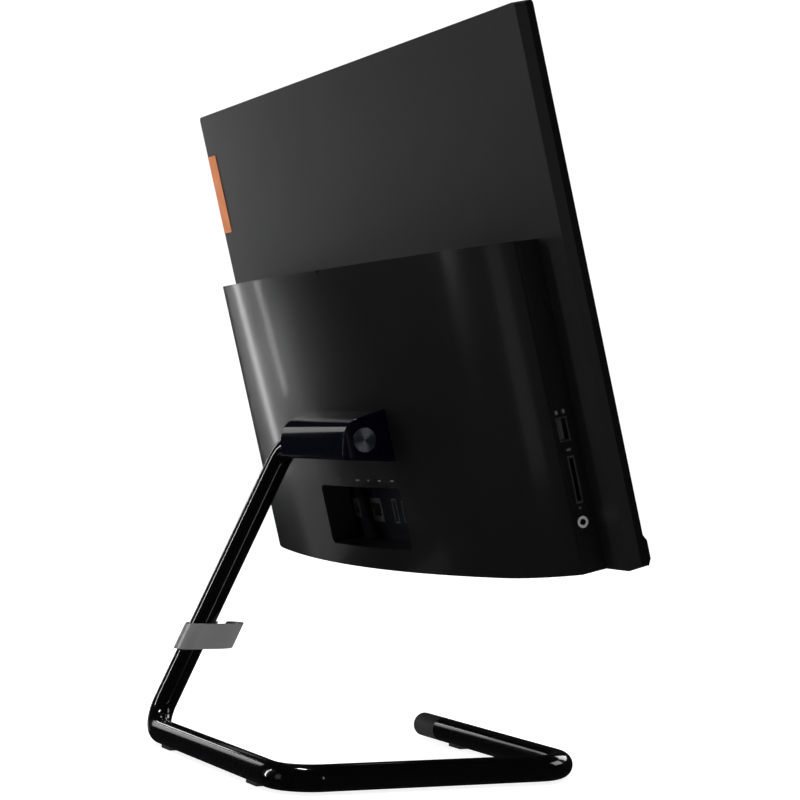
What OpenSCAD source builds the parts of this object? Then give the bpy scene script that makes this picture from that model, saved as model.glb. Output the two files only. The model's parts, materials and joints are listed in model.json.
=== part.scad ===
// All-in-one computer: a thin display slab with a shallow curved electronics housing on its
// back, hung on a friction hinge at the top of one bent steel tube that is also the base.
// Millimetres, +Z up, the screen faces -Y. Origin: centre of the footprint, on the desk.

/* [Display] */
// Width of the display slab
display_w = 490; // [480:1:500]
// Height of the display slab, measured along it
display_h = 313.5; // [312:0.5:320]
// Thickness of the display slab
slab_t = 11.5; // [11.5:0.5:13]
// Backward lean of the display at rest, in degrees
tilt = 15; // [8:1:20]
// Width of the visible picture area
screen_w = 476; // [460:1:476]
// Height of the visible picture area
screen_h = 268; // [255:1:268]

/* [Housing] */
// Width of the electronics housing
housing_w = 436; // [434:1:440]
// Height of the electronics housing
housing_h = 187; // [187:1:192]
// Depth of the housing at its middle
crown = 53; // [51:0.5:54]
// Depth of the housing at its side faces
side_depth = 15.5; // [15.5:0.5:17]
// Rise of the housing's top face, per millimetre of depth
top_rise = 0.1; // [0.05:0.01:0.12]
// Rise of the housing's bottom face, per millimetre of depth
bottom_rise = 0.035; // [0:0.005:0.04]
// Radius of the housing's middle arc
arch_r = 950; // [900:10:1000]
// Half width of the middle arc
arch_half = 165; // [160:1:168]
// Thickness of the housing's walls and cover
wall = 2; // [2:0.1:2.4]

/* [Stand] */
// Outer diameter of the stand tube
tube_d = 15; // [14:0.5:15.5]
// Wall thickness of the stand tube
tube_wall = 2; // [1.5:0.1:2.5]
// Height of the hinge axis above the desk
hinge_z = 192; // [182:0.5:202]
// Distance from the hinge axis back to the rear leg
base_half = 87; // [80:1:95]
// Distance from the hinge axis forward to the front leg
front_half = 90.5; // [80:0.5:91]
// Sideways place of the upright, from the display's middle
upright_x = 39; // [35:0.5:45]
// Sideways place of the base's closed end
base_end_x = -181; // [-188:1:-168]
// Sideways place of the front leg's free end
free_end_x = 17; // [8:0.5:24]
// Length of the rubber cap on the free end
cap_len = 30; // [20:1:34]
// Centre-line radius of the two bends of the upright
upright_bend = 19; // [16:1:19]
// Centre-line radius of the two bends of the base
base_bend = 22; // [20:1:28]

/* [Hinge] */
// Height of the hinge axis up the slab
axis_v = 88.5; // [87:0.5:92]
// Distance of the hinge axis behind the slab's back face
axis_w = 66.5; // [66:0.5:68]
// Outer radius of the rounded hinge cover
cover_r = 14; // [13.5:0.25:15]
// Play between the tube and the bushings
running_play = 0.05; // [0.03:0.01:0.1]

/* [Cable clip] */
// Height of the clip's middle above the desk
clip_z = 66; // [60:1:90]
// Height of the clip
clip_h = 16; // [12:1:20]
// Thickness of the clip's band
clip_t = 2; // [1.5:0.1:2.5]
// Distance from the tube to the middle of the cable loop
clip_reach = 15; // [12:1:18]

/* [Hidden] */
$fn = 64;

eps = 0.1;
half_w = display_w / 2;
half_h = housing_w / 2;
tube_r = tube_d / 2;

// Depths in the slab, from its back face (0) towards the screen (negative)
front_face = -slab_t;
bezel_face_t = 1.5;
bezel_inner = front_face + bezel_face_t;
seam_w = -7;
cover_t = 1.8;
panel_back = bezel_inner + 1.4;
backlight_back = -3.6;
chassis_t = 1.2;
chassis_back = backlight_back + chassis_t;
corner_r = 3;
screen_top_border = 7;
screen_v1 = display_h - screen_top_border;
screen_v0 = screen_v1 - screen_h;
panel_rim = 3;

// Camera and its sliding shutter, in the top border of the bezel
lens_r = 1.1;
shutter_v = display_h - 3.5;
shutter_h = 2.6;
shutter_gap = 0.3;
shutter_len = 7;
shutter_slot_half = 10.5;
shutter_u = 6.5;
shutter_floor = front_face + 1;
shutter_t = 0.7;
shutter_rib = 0.4;
camera_board_half = 18;
camera_board_t = 3;

// Panel's own board and the flat cable that joins it to the main board
driver_board_half = 110;
driver_board_w0 = -8.1;
driver_board_w1 = -6.5;
driver_board_v0 = 14;
driver_chip_pitch = 30;
cable_u0 = -60;
cable_u1 = -40;
cable_v = 30;
cable_t = 0.6;

// Window in the rear cover that opens into the housing
window_u = 209;
window_v0 = 10;
window_v1 = 176;

// Strip along the lower edge of the front
chin_proud = 2;
chin_bevel = 3.5;
chin_h = 18;

// Small coloured tag on the back, folded over the slab's edge
tag_w = 15.5;
tag_v0 = 227;
tag_v1 = 284;
tag_t = 0.4;
tag_fold = 6;

// Arc from the housing's middle arc down to its side faces
arch_angle = asin(arch_half / arch_r);
arch_end_w = crown - arch_r + arch_r * cos(arch_angle);
edge_run = half_h - arch_half;
edge_angle = 2 * atan2(arch_end_w - side_depth, edge_run) - arch_angle;
edge_r = edge_run / (sin(edge_angle) - sin(arch_angle));
edge_centre_u = (arch_r - edge_r) * sin(arch_angle);
edge_centre_w = crown - arch_r + (arch_r - edge_r) * cos(arch_angle);

// Lightening windows in the chassis sheet, above the housing
chassis_window_pitch = 72;
chassis_window_w = 48;
chassis_window_v0 = 200;
chassis_window_v1 = 280;

// Vents in the housing's top wall and sound slots in its bottom wall
vent_slots = 22;
vent_pitch = 5;
vent_rows = [-176, 66];
vent_slot_w = 2.4;
vent_w0 = 5;
vent_w1 = 24;
sound_slots = 12;
sound_rows = [-170, 110];
sound_slot_w = 2;
sound_w0 = 4;
sound_w1 = 11;

// Screws along the housing's lower edge that hold its cover
cover_screw_u = [-200, 90, 200];
cover_screw_w = 8;
cover_screw_r = 1.4;
cover_screw_head = 2.8;
cover_boss = 4;
boss_v0 = wall + bottom_rise * crown + 0.4;

// Port recess in the housing's back
pocket_u0 = -77;
pocket_u1 = 38;
pocket_v0 = 15.5;
pocket_v1 = 54.5;
pocket_floor = 34;
pocket_r = 4;
shield_t = 1.2;
port_gap = 0.2;

// Main board, parallel to the slab
board_w0 = 12.9;
board_t = 1.6;
board_w1 = board_w0 + board_t;
board_left = -213;
board_step_u = -84;
board_right = 41;
board_v0 = 12;
board_step_v = 57;
board_v1 = 180;
post_r = 3;
post_screw_r = 1.4;
post_places = [[-205, 104], [-205, 172], [-88, 104], [-88, 172], [-190, 16], [-92, 17], [35, 16], [35, 50]];

// Blower and fins
fan_u = -121;
fan_v = 133;
fan_half = 29;
fan_back = 28;
fan_cavity_r = 25;
fan_rotor_r = 23.5;
fan_pin_r = 1.5;
fan_floor_w = 17.2;
fan_blades = 20;
fin_v0 = 162.5;
fin_v1 = 184;
pipe_r = 2.2;
pipe_u = -178;
pipe_w = 21.55;
pipe_v = 173;
pipe_bend = 9;
processor_v = 136;
processor_u = -178;
processor_half = 19;
cold_plate_half = 20.5;
chip_t = 2;

// Cards, cell and drive on and beside the main board
memory_v = [26, 60];
memory_u0 = -156;
memory_u1 = -88.4;
memory_w0 = 17;
memory_t = 1.2;
memory_h = 29;
card_u0 = -205;
card_u1 = -183;
cell_u = -196;
cell_v = 38;
cell_r = 10;
cell_t = 3.2;
drive_u0 = 92;
drive_u1 = 192;
drive_v0 = 40;
drive_v1 = 110;
drive_w0 = 2;
drive_w1 = 9;
caddy_rim = 4;
caddy_t = 1.8;
speaker_len = 70;
speaker_u = [-180, 110];

// Rear sockets: middle of each along the slab's width, and their common height
inlet_u = 30;
network_u = -1;
video_u = -29;
rear_usb_u = [-43, -55.5, -68];
socket_v = 34.5;

// Side sockets: heights up the slab, and their distance behind the slab's back face
side_usb_v = 81.75;
side_usb_w = 8.9;
card_v = 53;
card_w = 7.8;
card_slot_len = 27;
card_slot_t = 4.2;
card_depth = 27.6;
jack_v = 29;
jack_w = 8.5;
jack_r = 3.4;
jack_bore_r = 1.8;
button_v = 29;
button_w = 8;
button_r = 4;
button_hole_r = 4.35;
button_face = half_h + 0.4;
button_len = 6;
button_travel = 1;
button_flange = 1;
jack_len = 16;
jack_bore_len = 14;

switch_board_u = 205.5;

// USB A receptacle
usb_long = 13.6;
usb_short = 6.8;
usb_open_long = 12.5;
usb_open_short = 5.2;
usb_depth = 12;
usb_tongue = 1.9;
side_usb_len = 14;

// Other rear sockets: outer size and mouth size, up the slab and across it
network_outer = [15.5, 16];
network_mouth = [8.6, 11.8];
network_depth = 13;
video_outer = [15.6, 6.2];
video_mouth = [14, 4.6];
video_depth = 9;
video_tongue = 1.6;
inlet_size = [13, 10];
inlet_depth = 11;
inlet_bore_r = 2.8;
inlet_pin_r = 0.6;

// Hinge bracket: a folded steel channel with two bored lugs
bracket_u0 = -76;
bracket_u1 = 18;
bracket_v0 = 62;
bracket_v1 = 112;
bracket_top = 30;
bracket_t = 2.5;
bracket_flange = 12;
lug_r = 10.4;
lug_half = 8.5;
lug_len = 20;
lug_places = [-70, -8];
bracket_screw_r = 1.8;
bracket_screw_u = [bracket_u0 + 10, bracket_u1 - 10];
hinge_screw_places = [for (u = bracket_screw_u, v = [bracket_v0 - 6, bracket_v1 + 6]) [u, v]];
bush_r = 9;
bush_bore_r = tube_r + running_play;
block_u0 = -80;
block_u1 = 19.5;
block_top_v = axis_v + 16.5;
block_drop = 12.4;
block_corner_r = 3;
block_t = 1.6;
cover_steps = 20;
aperture_v0 = 75.5;
aperture_v1 = 97.5;
tube_start_x = -76;
ring_u = -45;
ring_len = 5;
ring_t = 2.4;
disc_r = 7.5;

// Stand
pad_t = 1;
tube_z = tube_r + pad_t;
// Low bead round the place where the leaning upright's bend meets the level rear leg
bead_len = 2;
bead_h = 0.15;
cap_r = tube_r + 0.1;
cap_round = 1.6;
plug_len = 12;
pad_len = 16;
pad_w = 7;
pad_top = 2.6;
pad_places = [[4, base_half], [-140, base_half], [-36, -front_half], [-140, -front_half]];
rise = hinge_z - tube_z;
lean = atan2(base_half, rise);
upright_len = sqrt(base_half * base_half + rise * rise);
clip_drop = (hinge_z - clip_z) / cos(lean);
clip_in_r = tube_r + 0.4;
clip_out_r = clip_in_r + clip_t;
clip_slit = 5;

// The footprint is centred on the origin: from the chin strip to the rear leg
front_reach = (axis_w + slab_t + chin_proud) * cos(tilt) + (axis_v - chin_bevel) * sin(tilt);
hinge_y = (front_reach - base_half - tube_r) / 2;

// ---------- shared shapes ----------

// Places a shape drawn on the upright slab: x across, y behind the slab's back, z up the slab
module on_display() {
    translate([0, hinge_y, hinge_z])
        rotate([-tilt, 0, 0])
            translate([0, -axis_w, -axis_v])
                children();
}

// Places a shape drawn about the hinge axis with the upright hanging along -Z
module on_upright() {
    translate([upright_x, hinge_y, hinge_z])
        rotate([lean, 0, 0])
            children();
}

// Box between two depths, drawn across u and up v
module block(u0, u1, w0, w1, v0, v1) {
    translate([u0, w0, v0]) cube([u1 - u0, w1 - w0, v1 - v0]);
}

module rod_u(u0, u1, w, v, r) {
    translate([u0, w, v]) rotate([0, 90, 0]) cylinder(h = u1 - u0, r = r);
}

module rod_w(u, w0, w1, v, r) {
    translate([u, w0, v]) rotate([-90, 0, 0]) cylinder(h = w1 - w0, r = r);
}

module rod_v(u, w, v0, v1, r) {
    translate([u, w, v0]) cylinder(h = v1 - v0, r = r);
}

// Plate parallel to the slab with rounded corners
module rounded_plate(u0, u1, w0, w1, v0, v1, r) {
    block(u0 + r, u1 - r, w0, w1, v0, v1);
    block(u0, u1, w0, w1, v0 + r, v1 - r);
    for (u = [u0 + r, u1 - r], v = [v0 + r, v1 - r]) rod_w(u, w0, w1, v, r);
}

// Solid under the housing's curved back, with that curve moved inwards by inset
module arch_solid(inset, v0, v1) {
    intersection() {
        translate([0, crown - arch_r, v0]) cylinder(h = v1 - v0, r = arch_r - inset, $fn = 720);
        block(-arch_half, arch_half, 0, crown, v0, v1);
    }
    for (side = [-1, 1]) intersection() {
        translate([side * edge_centre_u, edge_centre_w, v0])
            cylinder(h = v1 - v0, r = edge_r - inset, $fn = 360);
        translate([side > 0 ? arch_half : -half_h, 0, v0])
            cube([edge_run, crown, v1 - v0]);
    }
}

// Prism between the housing's end faces, drawn in by inset, out to half on both sides
module between_ends(half, inset, w0) {
    w1 = crown + eps;
    translate([-half, 0, 0]) rotate([90, 0, 90]) linear_extrude(2 * half)
        polygon([
            [w0, inset + bottom_rise * w0],
            [w1, inset + bottom_rise * w1],
            [w1, housing_h - inset + top_rise * w1],
            [w0, housing_h - inset + top_rise * w0]
        ]);
}

// The whole housing as one solid, with its curved back moved inwards by inset
module housing_solid(inset) {
    intersection() {
        arch_solid(inset, 0, housing_h + top_rise * crown + 1);
        between_ends(half_h, 0, 0);
    }
}

// Socket with its mouth on +Z: outer size, mouth size, depth of the mouth, tongue thickness
module socket(size, mouth, depth, tongue) {
    difference() {
        translate([-size[0] / 2, -size[1] / 2, 0]) cube(size);
        translate([-mouth[0] / 2, -mouth[1] / 2, size[2] - depth])
            cube([mouth[0], mouth[1], depth + eps]);
    }
    if (tongue > 0)
        translate([-mouth[0] * 0.44, -tongue * 0.15, size[2] - depth - eps])
            cube([mouth[0] * 0.88, tongue, depth - 1]);
}

// Turns a socket's mouth to the back of the housing
module facing_back(u, w, v) {
    translate([u, w, v]) rotate([-90, 0, 0]) rotate([0, 0, 90]) children();
}

// Turns a socket's mouth to the housing's side face
module facing_side(u, w, v) {
    translate([u, w, v]) rotate([0, -90, 0]) children();
}

// Pan-head screw along w, its head behind the plate it holds
module screw_w(u, v, w_tip, w_seat, shank_r, head_r, head_h) {
    rod_w(u, w_tip, w_seat + eps, v, shank_r);
    rod_w(u, w_seat, w_seat + head_h, v, head_r);
}

// ---------- display slab ----------

module rear_cover() {
    color([0.13, 0.13, 0.13]) on_display() difference() {
        rounded_plate(-half_w, half_w, seam_w, 0, 0, display_h, corner_r);
        rounded_plate(-half_w + cover_t, half_w - cover_t, seam_w - eps, -cover_t,
            cover_t, display_h - cover_t, corner_r - cover_t);
        block(-window_u, window_u, -cover_t - eps, eps, window_v0, window_v1);
        block(half_w - tag_t, half_w + eps, -tag_fold, eps, tag_v0, tag_v1);
    }
}

module front_bezel() {
    color([0.05, 0.05, 0.05]) on_display() difference() {
        rounded_plate(-half_w, half_w, front_face, seam_w, 0, display_h, corner_r);
        rounded_plate(-half_w + cover_t, half_w - cover_t, bezel_inner, seam_w + eps,
            cover_t, display_h - cover_t, corner_r - cover_t);
        block(-screen_w / 2, screen_w / 2, front_face - eps, bezel_inner + eps, screen_v0, screen_v1);
        rod_w(0, front_face - eps, bezel_inner + eps, shutter_v, lens_r + port_gap);
        block(-shutter_slot_half, shutter_slot_half, front_face - eps, shutter_floor,
            shutter_v - shutter_h / 2 - shutter_gap, shutter_v + shutter_h / 2 + shutter_gap);
    }
}

// Proud strip along the lower front edge, bevelled at its top and bottom
module chin_strip() {
    color([0.04, 0.04, 0.04]) on_display()
        translate([-half_w, 0, 0]) rotate([90, 0, 90]) linear_extrude(display_w)
            polygon([
                [front_face, 0],
                [front_face, chin_h],
                [front_face - chin_proud, chin_h - chin_bevel],
                [front_face - chin_proud, chin_bevel]
            ]);
}

module side_tag() {
    color([0.8, 0.45, 0.22]) on_display() {
        block(half_w - tag_w, half_w, 0, tag_t, tag_v0, tag_v1);
        block(half_w - tag_t, half_w, -tag_fold, tag_t, tag_v0, tag_v1);
    }
}

module lcd_panel() {
    color([0.03, 0.03, 0.04]) on_display()
        block(-screen_w / 2 - panel_rim, screen_w / 2 + panel_rim, bezel_inner, panel_back,
            screen_v0 - panel_rim, screen_v1 + 1.5);
}

module backlight_unit() {
    color([0.85, 0.85, 0.85]) on_display()
        block(-screen_w / 2 - panel_rim, screen_w / 2 + panel_rim, panel_back, backlight_back,
            screen_v0 - panel_rim, screen_v1 + 1.5);
}

module panel_driver_board() {
    color([0.1, 0.35, 0.2]) on_display() {
        block(-driver_board_half, driver_board_half, driver_board_w0, driver_board_w1,
            driver_board_v0, screen_v0 - panel_rim - 1.5);
        for (i = [-3 : 3]) translate([i * driver_chip_pitch, 0, 0])
            block(-4, 4, driver_board_w0 - 1, driver_board_w0 + eps,
                driver_board_v0 + 4, driver_board_v0 + 10);
    }
}

// Flat cable from the main board through the chassis to the panel's board
module panel_cable() {
    color([0.8, 0.78, 0.7]) on_display()
        block(cable_u0, cable_u1, driver_board_w1, board_w0, cable_v, cable_v + cable_t);
}

// Steel sheet behind the screen, with the posts that carry the main board
module chassis_frame() {
    color([0.6, 0.61, 0.62]) on_display() difference() {
        union() {
            block(-half_w + 5, half_w - 5, backlight_back, chassis_back, 6, screen_v1 - 4);
            for (p = post_places) rod_w(p[0], chassis_back - eps, board_w0, p[1], post_r);
        }
        for (p = post_places) rod_w(p[0], 3, board_w0 + eps, p[1], post_screw_r + eps);
        for (p = hinge_screw_places)
            rod_w(p[0], backlight_back - eps, chassis_back + eps, p[1], bracket_screw_r);
        block(cable_u0 - 2, cable_u1 + 2, backlight_back - eps, chassis_back + eps, cable_v - 3, cable_v + 4);
        for (i = [-2.5 : 1 : 2.5]) translate([i * chassis_window_pitch, 0, 0])
            rounded_plate(-chassis_window_w / 2, chassis_window_w / 2,
                backlight_back - eps, chassis_back + eps, chassis_window_v0, chassis_window_v1, 6);
    }
}

// Camera in the top border of the bezel, behind a shutter that slides over its lens
module webcam_module() {
    color([0.1, 0.35, 0.2]) on_display()
        block(-camera_board_half, camera_board_half, bezel_inner, bezel_inner + camera_board_t,
            screen_v1 + 1.8, display_h - cover_t - 0.1);
}

module webcam_lens() {
    color([0.05, 0.05, 0.1]) on_display()
        rod_w(0, shutter_floor + 0.1, bezel_inner, shutter_v, lens_r);
}

module camera_shutter() {
    color([0.08, 0.08, 0.08]) on_display() {
        block(shutter_u - shutter_len / 2, shutter_u + shutter_len / 2, front_face, front_face + shutter_t,
            shutter_v - shutter_h / 2, shutter_v + shutter_h / 2);
        block(shutter_u - 0.5, shutter_u + 0.5, front_face - shutter_rib, front_face + eps,
            shutter_v - shutter_h / 2 + 0.3, shutter_v + shutter_h / 2 - 0.3);
    }
}

// ---------- electronics housing ----------

// Wall along an end face of the housing: v is its lower side's height at the slab
module end_wall(v, rise) {
    intersection() {
        arch_solid(wall, -1, housing_h + crown);
        translate([-half_h + wall, 0, 0]) rotate([90, 0, 90]) linear_extrude(2 * (half_h - wall))
            polygon([
                [0, v],
                [crown, v + rise * crown],
                [crown, v + wall + rise * crown],
                [0, v + wall]
            ]);
    }
}

// Side wall of the housing between two places across u
module side_wall(u0, u1) {
    intersection() {
        housing_solid(wall);
        block(u0, u1, -eps, crown, -1, housing_h + crown);
    }
}

module top_grille() {
    color([0.07, 0.07, 0.07]) on_display() difference() {
        end_wall(housing_h - wall, top_rise);
        for (i = [0 : vent_slots - 1], u0 = vent_rows) translate([u0 + i * vent_pitch, 0, 0])
            block(0, vent_slot_w, vent_w0, vent_w1, housing_h - wall - eps, housing_h + 4);
    }
}

module bottom_grille() {
    color([0.07, 0.07, 0.07]) on_display() difference() {
        end_wall(0, bottom_rise);
        for (i = [0 : sound_slots - 1], u0 = sound_rows) translate([u0 + i * vent_pitch, 0, 0])
            block(0, sound_slot_w, sound_w0, sound_w1, -eps, wall + 0.5);
        for (u = cover_screw_u) rod_v(u, cover_screw_w, -eps, wall + 0.5, cover_screw_r + eps);
        for (u = cover_screw_u) rod_v(u, cover_screw_w, -eps, 1.4, cover_screw_head + 0.2);
    }
}

// Side wall with the USB, card and headset sockets
module socket_side_panel() {
    color([0.07, 0.07, 0.07]) on_display() difference() {
        side_wall(-half_h - eps, -half_h + wall);
        facing_side(-half_h + wall + eps, side_usb_w, side_usb_v)
            translate([-usb_long / 2 - port_gap, -usb_short / 2 - port_gap, 0])
                cube([usb_long + 2 * port_gap, usb_short + 2 * port_gap, wall + 2 * eps]);
        block(-half_h - eps, -half_h + wall + eps,
            card_w - card_slot_t / 2 - 0.1, card_w + card_slot_t / 2 + 0.1,
            card_v - card_slot_len / 2 - 0.1, card_v + card_slot_len / 2 + 0.1);
        rod_u(-half_h - eps, -half_h + wall + eps, jack_w, jack_v, jack_r + 0.1);
    }
}

module button_side_panel() {
    color([0.07, 0.07, 0.07]) on_display() difference() {
        side_wall(half_h - wall, half_h + eps);
        rod_u(half_h - wall - eps, half_h + eps, button_w, button_v, button_hole_r);
    }
}

// Curved cover sheet, with bosses for its screws at the lower edge
module housing_cover() {
    color([0.1, 0.1, 0.1]) on_display() difference() {
        union() {
            difference() {
                housing_solid(0);
                arch_solid(wall, -eps, housing_h + crown);
            }
            for (u = cover_screw_u) intersection() {
                block(u - cover_boss, u + cover_boss, 3, crown, boss_v0, wall + 9);
                arch_solid(wall - eps, 0, housing_h);
            }
        }
        for (u = cover_screw_u) rod_v(u, cover_screw_w, 0, wall + 7, cover_screw_r + eps);
        rounded_plate(pocket_u0, pocket_u1, pocket_floor, crown + eps, pocket_v0, pocket_v1, pocket_r);
        block(bracket_u0 + 2, bracket_u1 - 2, pocket_floor, crown + eps, aperture_v0, aperture_v1);
    }
}

// Walls of the port recess
module port_pocket() {
    color([0.03, 0.03, 0.035]) on_display() difference() {
        intersection() {
            rounded_plate(pocket_u0 - wall, pocket_u1 + wall, pocket_floor - wall, crown,
                pocket_v0 - wall, pocket_v1 + wall, pocket_r + wall);
            arch_solid(wall, 0, housing_h);
        }
        rounded_plate(pocket_u0, pocket_u1, pocket_floor - wall - eps, crown + eps,
            pocket_v0, pocket_v1, pocket_r);
    }
}

// Metal plate at the bottom of the port recess, cut out for the sockets
module io_shield() {
    color([0.12, 0.12, 0.15]) on_display() difference() {
        rounded_plate(pocket_u0, pocket_u1, pocket_floor - shield_t, pocket_floor,
            pocket_v0, pocket_v1, pocket_r);
        socket_hole(inlet_u, inlet_size[1], inlet_size[0]);
        socket_hole(network_u, network_outer[1], network_outer[0]);
        socket_hole(video_u, video_outer[1], video_outer[0]);
        for (u = rear_usb_u) socket_hole(u, usb_short, usb_long);
    }
}

module socket_hole(u, across, up) {
    block(u - across / 2 - port_gap, u + across / 2 + port_gap, pocket_floor - wall - eps, pocket_floor + eps,
        socket_v - up / 2 - port_gap, socket_v + up / 2 + port_gap);
}

module power_inlet() {
    color([0.1, 0.1, 0.1]) on_display() {
        difference() {
            block(inlet_u - inlet_size[1] / 2, inlet_u + inlet_size[1] / 2, board_w1, pocket_floor,
                socket_v - inlet_size[0] / 2, socket_v + inlet_size[0] / 2);
            rod_w(inlet_u, pocket_floor - inlet_depth, pocket_floor + eps, socket_v, inlet_bore_r);
        }
        rod_w(inlet_u, pocket_floor - inlet_depth - eps, pocket_floor - 2, socket_v, inlet_pin_r);
    }
}

module network_port() {
    color([0.75, 0.76, 0.78]) on_display() facing_back(network_u, board_w1, socket_v)
        socket([network_outer[0], network_outer[1], pocket_floor - board_w1],
            network_mouth, network_depth, 0);
}

module video_port() {
    color([0.7, 0.71, 0.73]) on_display() facing_back(video_u, board_w1, socket_v)
        socket([video_outer[0], video_outer[1], pocket_floor - board_w1],
            video_mouth, video_depth, video_tongue);
}

module rear_usb_ports() {
    color([0.7, 0.71, 0.73]) on_display() for (u = rear_usb_u) facing_back(u, board_w1, socket_v)
        socket([usb_long, usb_short, pocket_floor - board_w1], [usb_open_long, usb_open_short],
            usb_depth, usb_tongue);
}

module side_usb_port() {
    color([0.7, 0.71, 0.73]) on_display() facing_side(-half_h + side_usb_len, side_usb_w, side_usb_v)
        socket([usb_long, usb_short, side_usb_len], [usb_open_long, usb_open_short], usb_depth, usb_tongue);
}

module card_reader() {
    color([0.7, 0.71, 0.73]) on_display() facing_side(-half_h + card_depth, card_w, card_v)
        socket([card_slot_len, card_slot_t, card_depth], [24.6, 2.6], 25, 0);
}

module audio_jack() {
    color([0.6, 0.61, 0.62]) on_display() difference() {
        union() {
            block(-half_h + 2.5, -half_h + jack_len, jack_w - 4.4, board_w0, jack_v - 5.5, jack_v + 5.5);
            rod_u(-half_h, -half_h + 3, jack_w, jack_v, jack_r);
        }
        rod_u(-half_h - eps, -half_h + jack_bore_len, jack_w, jack_v, jack_bore_r);
    }
}

// Round push button in the side face away from the sockets, with an inner retaining flange
module power_button() {
    color([0.15, 0.15, 0.16]) on_display() {
        rod_u(button_face - button_len, button_face, button_w, button_v, button_r);
        rod_u(button_face - button_len, half_h - wall - 0.4, button_w, button_v, button_r + button_flange);
    }
}

module switch_board() {
    color([0.1, 0.35, 0.2]) on_display() {
        block(switch_board_u, switch_board_u + 1.5, 2, 12.6, button_v - 12, button_v + 12);
        block(switch_board_u + 1.4, button_face - button_len - button_travel - 0.4,
            button_w - 2, button_w + 2, button_v - 2, button_v + 2);
    }
}

// ---------- electronics ----------

module motherboard() {
    color([0.08, 0.3, 0.18]) on_display() difference() {
        union() {
            block(board_left, board_step_u, board_w0, board_w1, board_v0, board_v1);
            block(board_step_u - eps, board_right, board_w0, board_w1, board_v0, board_step_v);
        }
        for (p = post_places) rod_w(p[0], board_w0 - eps, board_w1 + eps, p[1], post_screw_r + 0.2);
    }
}

module board_screws() {
    color([0.7, 0.7, 0.7]) on_display()
        for (p = post_places) screw_w(p[0], p[1], 5, board_w1, post_screw_r, 2.6, 1.6);
}

module processor() {
    color([0.2, 0.2, 0.2]) on_display()
        block(processor_u - processor_half, processor_u + processor_half, board_w1, board_w1 + chip_t,
            processor_v - processor_half, processor_v + processor_half);
}

module cold_plate() {
    color([0.8, 0.5, 0.3]) on_display()
        block(processor_u - cold_plate_half, processor_u + cold_plate_half, board_w1 + chip_t,
            pipe_w - pipe_r - 0.02, processor_v - cold_plate_half, processor_v + cold_plate_half);
}

// Round pipe from the cold plate up and across through the fins
module heat_pipe() {
    color([0.8, 0.5, 0.3]) on_display() {
        rod_v(pipe_u, pipe_w, processor_v - 17, pipe_v - pipe_bend, pipe_r);
        translate([pipe_u + pipe_bend, pipe_w, pipe_v - pipe_bend]) rotate([90, 0, 0])
            rotate([0, 0, 90]) rotate_extrude(angle = 90) translate([pipe_bend, 0]) circle(r = pipe_r);
        rod_u(pipe_u + pipe_bend, fan_u + fan_half - 3, pipe_w, pipe_v, pipe_r);
    }
}

module fin_stack() {
    color([0.75, 0.76, 0.78]) on_display() difference() {
        union() {
            block(fan_u - fan_half, fan_u + fan_half, board_w1, board_w1 + 1.2, fin_v0, fin_v1);
            block(fan_u - fan_half, fan_u + fan_half, fan_back - 1.2, fan_back, fin_v0, fin_v1);
            for (u = [fan_u - fan_half : 3.8 : fan_u + fan_half - 0.9])
                block(u, u + 0.9, board_w1, fan_back, fin_v0, fin_v1);
        }
        rod_u(fan_u - fan_half - eps, fan_u + fan_half + eps, pipe_w, pipe_v, pipe_r + 0.05);
    }
}

// Blower casing: round chamber, outlet towards the fins, inlet towards the cover, centre pin
module fan_housing() {
    color([0.06, 0.06, 0.06]) on_display() {
        difference() {
            block(fan_u - fan_half, fan_u + fan_half, board_w1, fan_back, fan_v - fan_half, fan_v + fan_half);
            rod_w(fan_u, fan_floor_w, fan_back - 1.2, fan_v, fan_cavity_r);
            block(fan_u - fan_cavity_r + 1, fan_u + fan_cavity_r - 1, fan_floor_w, fan_back - 1.2,
                fan_v, fan_v + fan_half + eps);
            rod_w(fan_u, fan_back - 2, fan_back + eps, fan_v, 17);
        }
        rod_w(fan_u, fan_floor_w - eps, 24, fan_v, fan_pin_r);
    }
}

module fan_rotor() {
    color([0.12, 0.12, 0.12]) on_display() difference() {
        union() {
            rod_w(fan_u, fan_floor_w + 0.6, 26, fan_v, 9);
            rod_w(fan_u, fan_floor_w + 0.6, fan_floor_w + 1.6, fan_v, fan_rotor_r);
            for (i = [0 : fan_blades - 1]) translate([fan_u, 0, fan_v])
                rotate([0, i * 360 / fan_blades, 0])
                    block(15, fan_rotor_r, fan_floor_w + 1.5, 26, -0.4, 0.4);
        }
        rod_w(fan_u, fan_floor_w, 25, fan_v, fan_pin_r + running_play);
    }
}

module memory_modules() {
    color([0.1, 0.35, 0.2]) on_display() for (v = memory_v) {
        block(memory_u0, memory_u1, memory_w0, memory_w0 + memory_t, v, v + memory_h);
        for (i = [0 : 3]) translate([memory_u0 + 6 + 16 * i, 0, v + 9])
            block(0, 11, memory_w0 + memory_t - eps, memory_w0 + memory_t + 1, 0, 14);
    }
}

module memory_sockets() {
    color([0.05, 0.05, 0.05]) on_display() for (v = memory_v)
        block(memory_u0 - 1.5, memory_u1 + 1.5, board_w1, memory_w0 + 3, v - 4.5, v);
}

module wireless_card() {
    color([0.1, 0.2, 0.4]) on_display() {
        block(card_u0, card_u1, 17, 18, 64, 92);
        block(card_u0, card_u1, board_w1, 19.5, 59, 64.1);
        block(card_u0 + 4, card_u1 - 4, 17.9, 19.4, 70, 86);
    }
}

module coin_cell() {
    color([0.8, 0.8, 0.8]) on_display() rod_w(cell_u, board_w1, board_w1 + cell_t, cell_v, cell_r);
}

module hard_drive() {
    color([0.62, 0.63, 0.65]) on_display()
        rounded_plate(drive_u0, drive_u1, drive_w0, drive_w1, drive_v0, drive_v1, 2);
}

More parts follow.
